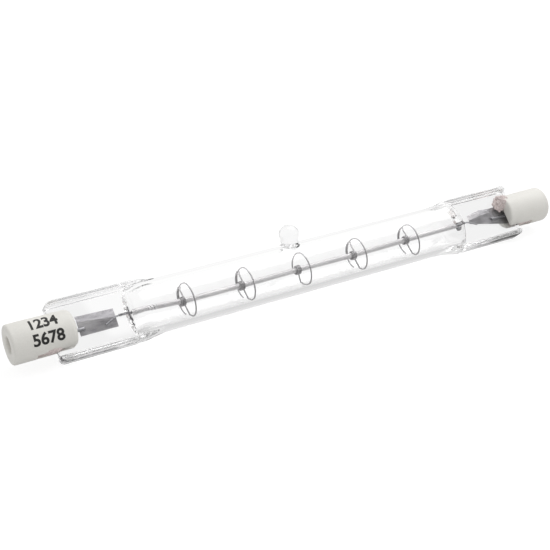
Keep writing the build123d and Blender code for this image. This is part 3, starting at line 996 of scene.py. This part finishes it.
@dataclass(frozen=True)
class Studio:
    """The pale floor, the soft light and the camera. Lengths are in metres, and runs in millimetres."""

    floor_half: float = 3.0
    floor_tone: float = 0.8
    floor_through_glass: float = 0.96
    floor_glow: float = 0.84
    floor_in_view: float = 0.27
    tube_shade: float = 0.68
    seal_shade: float = 0.34
    seal_open: float = 0.88
    room_level: float = 0.62
    dark_level: float = 0.68
    dark_way: tuple[float, float, float] = (-0.35, -0.8, 0.0)
    dark_run: tuple[float, float] = (0.25, 0.75)
    tube_shade_run: tuple[float, float] = (-4.2, 3.4)
    seal_shade_run: tuple[float, float] = (-2.4, -0.2)
    seal_run: tuple[float, float] = (38.5, 41.0)
    lamp_place: tuple[float, float, float] = (0.3, 0.12, 0.5)
    lamp_size: float = 0.5
    lamp_power: float = 1.7
    camera_place: tuple[float, float, float] = (-0.100845, -0.163374, 0.103678)
    camera_aim: tuple[float, float, float] = (-0.006601, 0.0, 0.004816)
    lens: float = 73.43
    bounces: int = 64

    def build_floor(self) -> None:
        """Lays the floor, which looks white but keeps the lamp's shadow."""
        shape = bmesh.new()
        bmesh.ops.create_grid(shape, x_segments=1, y_segments=1, size=self.floor_half)
        floor = put_in_scene("floor", to_mesh(shape, "floor"))
        material, shading = start_material("floor_white")
        shading.nodes.remove(shading.nodes["Principled BSDF"])
        camera_ray, seen = shading.add("LightPath").outputs["Is Camera Ray"], self.seen_directly(shading)
        # Its own shade carries the look through the glass, and a faint true shadow stays in view
        tone = shading.mix(seen, self.floor_tone, shading.mix(camera_ray, 0.0, self.floor_in_view))
        glow = shading.mix(seen, 0.0, shading.mix(camera_ray, self.under_lamp(shading), self.floor_glow))
        surface = shading.add("AddShader", {
            0: shading.add("BsdfDiffuse", {"Color": tone}).outputs["BSDF"],
            1: shading.add("Emission", {"Strength": glow}).outputs["Emission"],
        })
        shading.feed("Material Output", {"Surface": surface.outputs["Shader"]})
        floor.data.materials.append(material)

    def under_lamp(self, shading: Shading) -> NodeSocket:
        """Brightness of the floor seen through the glass, with the lamp's soft shade under it.

        The shade is wide under the tube and narrow along the edge on which the seals rest.
        """
        place = shading.add("SeparateXYZ", {"Vector": shading.add("TexCoord").outputs["Object"]}).outputs

        def fade(source: NodeSocket, run: tuple[float, float], low: float, high: float) -> NodeSocket:
            """Eased value over a run of places in millimetres."""
            return shading.ramp(source, run[0] * MM, run[1] * MM, low, high, "SMOOTHSTEP")

        under_tube = fade(place["Y"], self.tube_shade_run, self.tube_shade, self.floor_through_glass)
        under_seal = fade(place["Y"], self.seal_shade_run, self.seal_shade, self.seal_open)
        at_seals = fade(shading.math("ABSOLUTE", place["X"]), self.seal_run, 0, 1)
        return shading.mix(at_seals, under_tube, under_seal)

    @staticmethod
    def seen_directly(shading: Shading) -> NodeSocket:
        """Value that is 1 for rays from the camera, from a mirror or through glass."""
        ray = shading.add("LightPath").outputs
        straight_or_mirrored = shading.math("MAXIMUM", ray["Is Camera Ray"], ray["Is Glossy Ray"])
        return shading.math("MAXIMUM", straight_or_mirrored, ray["Is Transmission Ray"])

    def build_world(self) -> None:
        """Sets the white background and the room's level, darker low down on the camera's side."""
        world = bpy.data.worlds.new("studio")
        bpy.context.scene.world = world
        world.use_nodes = True
        shading = Shading(world.node_tree)
        looking = shading.add("TexCoord").outputs["Generated"]
        facing = shading.vector("DOT_PRODUCT", looking, self.dark_way, "Value")
        seen = shading.ramp(facing, *self.dark_run, 1.0, self.dark_level, "SMOOTHSTEP")
        room = shading.mix(self.seen_directly(shading), self.room_level, seen)
        level = shading.mix(shading.add("LightPath").outputs["Is Camera Ray"], room, 1.0)
        shading.feed("Background", {"Color": (1, 1, 1, 1), "Strength": level})

    def add_lamp(self, name: str, place: Vector, size: float, power: float) -> None:
        """Hangs one soft square lamp that looks at the middle of the object."""
        data = bpy.data.lights.new(name, "AREA")
        data.size, data.energy = size, power
        lamp = put_in_scene(name, data)
        lamp.location = place
        lamp.rotation_euler = (LAYOUT.spot(0) - place).to_track_quat("-Z", "Y").to_euler()

    def build_camera(self) -> None:
        """Puts the camera where the photograph was taken from."""
        data = bpy.data.cameras.new("camera")
        data.lens, data.sensor_width, data.clip_start = self.lens, 36.0, 0.005
        camera = put_in_scene("camera", data)
        camera.location = self.camera_place
        aim = Vector(self.camera_aim) - Vector(self.camera_place)
        camera.rotation_euler = aim.to_track_quat("-Z", "Y").to_euler()
        bpy.context.scene.camera = camera

    def build(self) -> None:
        """Makes the whole stage."""
        self.build_camera()
        self.build_floor()
        self.build_world()
        self.add_lamp("top_lamp", Vector(self.lamp_place), self.lamp_size, self.lamp_power)
        cycles = bpy.context.scene.cycles
        cycles.max_bounces = cycles.transmission_bounces = self.bounces
        cycles.glossy_bounces = self.bounces
        bpy.context.scene.view_settings.view_transform = "Standard"


def dress_nodes(finishes: dict[str, Material]) -> None:
    """Gives each CAD node that stays its finish, by the start of its name."""
    for name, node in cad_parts.items():
        for start, material in finishes.items():
            if name.startswith(start):
                node.data.materials.clear()
                node.data.materials.append(material)
                log.info("%s keeps its form and takes %s", name, material.name)


def main() -> None:
    """Builds the stage and the lamp's sub-assemblies in order."""
    logging.basicConfig(level=logging.INFO)
    Studio().build()
    grain = make_grain_group()
    quartz = QuartzFinish().build()
    steatite, cement, ink = STEATITE.build(grain), CEMENT.build(grain), INK.build(grain)
    coil, support, lead = COIL.build(grain), SUPPORT.build(grain), LEAD.build(grain)
    # light and dark are the foil's finishes with painted light and painted shade.
    light, dark, contact = FOIL_PAINTED_LIT.build(grain), FOIL_PAINTED_SHADE.build(grain), CONTACT.build(grain)
    Envelope().build(quartz)
    Coil().build(coil, support)
    CapEnd(Side.LEFT).build(steatite, cement)
    CapEnd(Side.RIGHT, length=10.3, inner_rounding=0.45).build(steatite, cement)
    Ribbon(Side.LEFT, ((12.5, 1.85, 0.8, -1.85), (19.6, 1.6, 0.0, -1.85)), ((0, 1),)).build(light, dark)
    Ribbon(
        Side.RIGHT,
        ((9.0, 1.8, 1.1, -2.6), (12.8, 1.7, 0.9, -1.85), (15.7, 1.9, 0.7, -1.2), (18.9, 1.3, 0.3, -0.5)),
        ((1, 1), (0, 0), (1, 0)),
    ).build(light, dark)
    Marking().build(ink)
    dress_nodes({"outer_lead": lead, "inner_lead": lead, "contact": contact})


if __name__ == "__main__":
    main()
